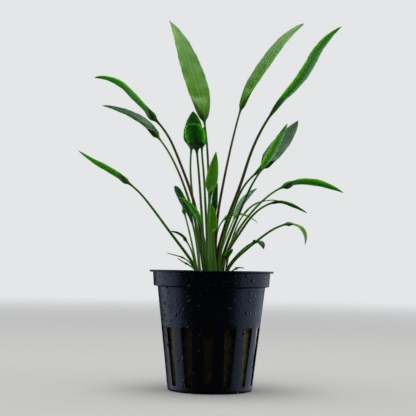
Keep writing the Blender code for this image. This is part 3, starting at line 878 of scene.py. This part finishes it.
@dataclass
class RockWool:
    """The plug of rock wool: a felted body with loose fibres on its top and in the slots."""

    pot: Pot
    crown: Crown
    top: float = 42.6 * MM
    lining: float = 1.3 * MM  # from the outside of the pot's wall
    nap: float = 0.2 * MM  # how far the fibres stand above the felt
    columns: int = 168
    wall_fibres: int = 110  # in each slot
    top_fibres: int = 1100
    fibre_radius: float = 0.045 * MM
    seed: int = 5

    def outer_radius(self, height: float) -> float:
        """How far the plug reaches at a height."""
        return self.pot.wall_radius(height) - self.lining

    def felt(self) -> bpy.types.Object:
        """The felted body, roughened over its whole surface."""
        top, nap = self.top - self.nap, self.nap
        heights = np.linspace(2.4 * MM, top - 1.2 * MM, 26)
        pocket = self.crown.radius + 0.5 * MM
        rows = [(self.outer_radius(1.6 * MM) - 1.2 * MM, 1.6 * MM)]
        rows += [(self.outer_radius(height) - nap, float(height)) for height in heights]
        rows += [(self.outer_radius(top) - nap - inset * MM, top - drop * MM) for inset, drop in ((0.5, 0.3), (1.6, 0.0))]
        outer = rows[-1][0]
        rows += [(outer + (pocket - outer) * share, top) for share in np.linspace(0.1, 1.0, 9)]
        rows += [(0.93 * pocket, self.crown.height(self.crown.radius) - 2.6 * MM), (0.5 * pocket, self.crown.foot - 0.6 * MM)]
        felt = raise_rows("rock_wool_visual", rows, self.columns)
        for vertex in felt.data.vertices:
            point = vertex.co / MM
            if hypot(point.x, point.y) < self.crown.radius / MM + 0.2:
                continue
            inwards = Vector((-point.x, -point.y, 0)).normalized() if point.z < top / MM - 0.5 else Vector((0, 0, -1))
            rough = 0.3 * abs(noise.noise(point * 0.9)) + 0.2 * abs(noise.noise(point * 2.3 + Vector((9, 0, 0))))
            vertex.co = (point + inwards * rough) * MM
        close_and_orient(felt)
        return felt

    def model_fibre(self) -> tuple[np.ndarray, list[list[int]]]:
        """One straight thin fibre along Z from -0.5 to 0.5, as points and faces."""
        bpy.ops.object.select_all(action="DESELECT")
        bpy.ops.mesh.primitive_cylinder_add(vertices=3, radius=1, depth=1, end_fill_type="NGON")
        fibre = bpy.context.object
        for edge in fibre.data.edges:
            low, high = (fibre.data.vertices[i].co.z for i in edge.vertices)
            edge.select = abs(high - low) > 0.5
        bpy.ops.object.mode_set(mode="EDIT")
        bpy.ops.mesh.select_mode(type="EDGE")
        bpy.ops.object.mode_set(mode="OBJECT")
        for edge in fibre.data.edges:
            low, high = (fibre.data.vertices[i].co.z for i in edge.vertices)
            edge.select = abs(high - low) > 0.5
        bpy.ops.object.mode_set(mode="EDIT")
        bpy.ops.mesh.subdivide(number_cuts=4)
        bpy.ops.object.mode_set(mode="OBJECT")
        points = np.array([vertex.co for vertex in fibre.data.vertices])
        faces = [list(face.vertices) for face in fibre.data.polygons]
        bpy.data.objects.remove(fibre)
        return points, faces

    def lay_fibre(self, fibre: np.ndarray, chance: Random, slot: int) -> np.ndarray:
        """Lays one fibre on the plug, bent to its surface.

        Args:
            fibre: The straight fibre's points.
            chance: Where the random draws come from.
            slot: The slot that it shows in, or -1 on the plug's top.

        Returns:
            The points in place.
        """
        length = chance.uniform(2.0, 6.5) * MM
        lay, bend = chance.uniform(0, pi), chance.uniform(-0.35, 0.35)
        along = fibre[:, 2]
        arch = 1 - (2 * along) ** 2
        forth = along * length + fibre[:, 0] * 0
        sideways = bend * arch * length + fibre[:, 0] * self.fibre_radius
        rise = self.nap * chance.uniform(-0.1, 0.75) * arch - 0.15 * MM * (1 - arch) + fibre[:, 1] * self.fibre_radius
        first = forth * cos(lay) - sideways * sin(lay)
        second = forth * sin(lay) + sideways * cos(lay)
        if slot < 0:
            reach = (self.crown.radius + 0.9 * MM, self.outer_radius(self.top) - 2.0 * MM)
            radius = (chance.uniform(reach[0] ** 2, reach[1] ** 2)) ** 0.5
            bearing = chance.uniform(0, 2 * pi)
            x = radius * cos(bearing) + first
            y = radius * sin(bearing) + second
            far = np.hypot(x, y)
            held = np.clip(far, reach[0], reach[1] + 0.6 * MM) / far
            return np.stack([x * held, y * held, self.top - self.nap + rise], axis=1)
        pitch = 2 * pi / self.pot.slots
        middle = slot * pitch + radians(self.pot.slot_turn) - pi / 2 + chance.uniform(-0.3, 0.3) * pitch
        height = np.clip(chance.uniform(self.pot.slot_foot, self.pot.slot_top) + second, 2.2 * MM, None)
        radius = self.pot.wall_foot_radius + (self.pot.wall_radius(1.0) - self.pot.wall_foot_radius) * height
        radius = radius - self.lining - self.nap + rise
        bearing = middle + first / radius
        return np.stack([radius * np.cos(bearing), radius * np.sin(bearing), height], axis=1)

    def fibres(self) -> bpy.types.Object:
        """All the loose fibres as one mesh."""
        shape, faces = self.model_fibre()
        chance = Random(self.seed)
        slots = [slot for slot in range(self.pot.slots) for _ in range(self.wall_fibres)] + [-1] * self.top_fibres
        laid = np.concatenate([self.lay_fibre(shape, chance, slot) for slot in slots])
        all_faces = [[corner + i * len(shape) for corner in face] for i in range(len(slots)) for face in faces]
        mesh = bpy.data.meshes.new("fibres")
        mesh.from_pydata(laid.tolist(), [], all_faces)
        mesh.update()
        fibres = bpy.data.objects.new("fibres", mesh)
        bpy.context.scene.collection.objects.link(fibres)
        close_and_orient(fibres)
        return fibres

    def material(self, grain: Effect) -> bpy.types.Material:
        """Khaki mineral wool, damp, with paler and rustier tufts, and painted shade in a dark peat brown over the front
        middle of the plug.
        """
        paint = Paint("rock_wool", {"Specular IOR Level": 0.25, "Sheen Weight": 0.15})
        tree = paint.tree
        felt = grain.into(tree, {"Scale": 500.0, "Light": (0.62, 0.56, 0.24), "Dark": (0.22, 0.19, 0.06)})
        rust = tree.ramp(tree.noise(tree.place(), 130.0, 3.0), 0.5, 0.7)
        x, y, _ = tree.split(tree.place())
        # Painted shade: the front middle of the plug, behind the slots that face the camera, is darkened to a peat
        # brown.
        front = tree.math("MULTIPLY", tree.ramp(tree.math("ABSOLUTE", x), 14 * MM, 11.5 * MM), tree.ramp(y, 0.0, -9 * MM))
        front_shade_colour = tree.mix(rust, (0.035, 0.025, 0.006), (0.10, 0.045, 0.008))
        colour = tree.mix(tree.math("MULTIPLY", rust, 0.2), felt["Colour"], (0.3, 0.16, 0.04))
        colour = tree.mix(tree.math("MULTIPLY", front, 0.9), colour, front_shade_colour)
        rough = tree.math("MULTIPLY_ADD", felt["Value"], 0.2, 0.7)
        strands = tree.noise(tree.stretch(tree.place(), (1.0, 1.0, 0.35)), 2600.0, 3.0, 1.2)
        return paint.finish(colour, rough, strands, 0.25 * MM)

    def build(self, grain: Effect) -> None:
        """Builds and dresses the rock wool."""
        wool = self.felt()
        fibres = self.fibres()
        bpy.ops.object.select_all(action="DESELECT")
        fibres.select_set(True)
        wool.select_set(True)
        bpy.context.view_layer.objects.active = wool
        bpy.ops.object.join()
        dress(wool, self.material(grain), "rock_wool", pi)


@dataclass
class Rootstock:
    """The short knobbly rootstock that the petioles stand on."""

    crown: Crown
    columns: int = 72
    knob: float = 0.5 * MM

    def build(self, grain: Effect) -> None:
        """Builds and dresses the rootstock."""
        crown = self.crown
        waist = crown.height(crown.radius)
        rows = [(0.45 * crown.radius, crown.foot), (0.7 * crown.radius, crown.foot + 1.6 * MM)]
        rows += [(0.85 * crown.radius, waist - 2.6 * MM), (0.95 * crown.radius, waist - 1.0 * MM)]
        shares = np.linspace(1.0, 0.04, 22)
        rows += [(float(share) * crown.radius, crown.height(float(share) * crown.radius)) for share in shares]
        stock = raise_rows("rootstock_visual", rows, self.columns)
        for vertex in stock.data.vertices:
            point = vertex.co / MM
            inwards = -Vector((point.x, point.y, 6.0 * (point.z - 40.0))).normalized()
            scales = abs(noise.noise(Vector((point.x * 0.8, point.y * 0.8, point.z * 1.5))))
            lumps = abs(noise.noise(point * 2.1 + Vector((0, 7, 0))))
            vertex.co = vertex.co + inwards * self.knob * (0.9 * scales + 0.4 * lumps)
        close_and_orient(stock)
        paint = Paint("rootstock", {"Specular IOR Level": 0.4})
        bark = grain.into(paint.tree, {"Scale": 450.0, "Light": (0.16, 0.10, 0.04), "Dark": (0.035, 0.025, 0.012)})
        rough = paint.tree.math("MULTIPLY_ADD", bark["Value"], 0.25, 0.5)
        dress(stock, paint.finish(bark["Colour"], rough, bark["Value"], 0.2 * MM), "rootstock", pi)


@dataclass(frozen=True)
class Softbox:
    """A wide lamp that faces the plant: its bearing from the camera's side, its rise, its size and its light."""

    name: str
    bearing: float
    rise: float
    distance: float
    size: tuple[float, float]
    brightness: float
    colour: Colour

    def add(self) -> None:
        """Sets the lamp up, out of the camera's sight."""
        lamp = bpy.data.lights.new(self.name, "AREA")
        lamp.shape = "RECTANGLE"
        lamp.size, lamp.size_y = self.size
        lamp.energy = self.brightness * pi * self.size[0] * self.size[1]
        lamp.color = self.colour
        holder = bpy.data.objects.new(self.name, lamp)
        bpy.context.scene.collection.objects.link(holder)
        level = self.distance * cos(radians(self.rise))
        away = Vector((level * sin(radians(self.bearing)), -level * cos(radians(self.bearing)),
                       self.distance * sin(radians(self.rise))))
        holder.location = Vector((0, 0, 0.05)) + away
        holder.rotation_euler = (-away).to_track_quat("-Z", "Y").to_euler()
        holder.visible_camera = False


@dataclass
class Studio:
    """The pale floor, the soft light round it and the camera."""

    frame_pixels: int = 416
    focal_pixels: float = 1033.0
    sensor: float = 36.0
    eye: tuple[float, float, float] = (-0.75 * MM, -460 * MM, 53.5 * MM)
    pitch: float = 3.34
    yaw: float = 0.17
    roll: float = 1.0
    floor_radius: float = 3.0
    backdrop: Colour = (0.78, 0.79, 0.80)
    room: float = 0.03
    softboxes: tuple[Softbox, ...] = (
        Softbox("left_window", -104, 0, 1.0, (1.3, 0.95), 0.85, (0.84, 0.92, 1.12)),
        Softbox("right_window", 108, 0, 1.0, (2.3, 0.95), 0.70, (0.84, 0.92, 1.12)),
        Softbox("ceiling", 0, 90, 1.1, (1.3, 1.3), 3.0, (1.0, 0.99, 0.96)),
    )

    def add_floor(self) -> None:
        """A wide round floor that fades into the background and sends no light back up."""
        bpy.ops.object.select_all(action="DESELECT")
        bpy.ops.mesh.primitive_circle_add(vertices=96, radius=self.floor_radius, fill_type="NGON", location=(0, 0, 0))
        floor = name_piece(bpy.context.object, "floor")
        floor.visible_glossy = floor.visible_diffuse = floor.visible_shadow = False
        paint = Paint("floor", {"Specular IOR Level": 0.0})
        tree = paint.tree
        cloud = tree.noise(tree.place(), 60.0, 3.0)
        colour = tree.mix(cloud, (0.62, 0.62, 0.62), (0.65, 0.65, 0.65))
        far = tree.node("ShaderNodeVectorMath", {0: tree.place()}, operation="LENGTH").outputs["Value"]
        tree.put(paint.shader.inputs["Alpha"], tree.ramp(far, 0.3, 1.4, 1.0, 0.0))
        floor.data.materials.append(paint.finish(colour, 0.7, cloud, 0.02 * MM))

    def light_surround(self) -> None:
        """A pale backdrop to the camera, and a dim room to everything else."""
        world = bpy.data.worlds.new("studio")
        bpy.context.scene.world = world
        world.use_nodes = True
        tree = Tree(world.node_tree)
        seen = tree.node("ShaderNodeLightPath", {}).outputs["Is Camera Ray"]
        dim = (self.room, self.room, self.room)
        tree.put(world.node_tree.nodes["Background"].inputs["Color"], tree.mix(seen, dim, self.backdrop))

    def add_camera(self) -> None:
        """The camera at the photograph's viewpoint."""
        camera = bpy.data.cameras.new("camera")
        camera.sensor_width = self.sensor
        camera.lens = self.focal_pixels / self.frame_pixels * self.sensor
        camera.clip_start, camera.clip_end = 0.01, 50.0
        holder = bpy.data.objects.new("camera", camera)
        bpy.context.scene.collection.objects.link(holder)
        turn = (
            Matrix.Rotation(radians(self.yaw), 4, "Z")
            @ Matrix.Rotation(radians(90 + self.pitch), 4, "X")
            @ Matrix.Rotation(radians(self.roll), 4, "Z")
        )
        holder.matrix_world = Matrix.Translation(self.eye) @ turn
        bpy.context.scene.camera = holder

    def build(self) -> None:
        """Sets the floor, the light and the camera."""
        self.add_floor()
        self.light_surround()
        for softbox in self.softboxes:
            softbox.add()
        self.add_camera()
        bpy.context.scene.view_settings.view_transform = "Standard"


def main() -> None:
    """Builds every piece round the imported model, and the studio that it stands in."""
    logging.basicConfig(level=logging.INFO, format="%(message)s")
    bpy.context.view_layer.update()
    _, pot_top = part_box("pot")
    grain, beads, tissue = make_grain(), make_beads(), make_tissue()
    crown = Crown()
    pot = Pot(height=pot_top.z, lip_radius=27.5 * MM)
    pot.build(grain, beads)
    RockWool(pot, crown).build(grain)
    Rootstock(crown).build(grain)
    Foliage(crown, tissue).build()
    Studio().build()


if __name__ == "__main__":
    main()
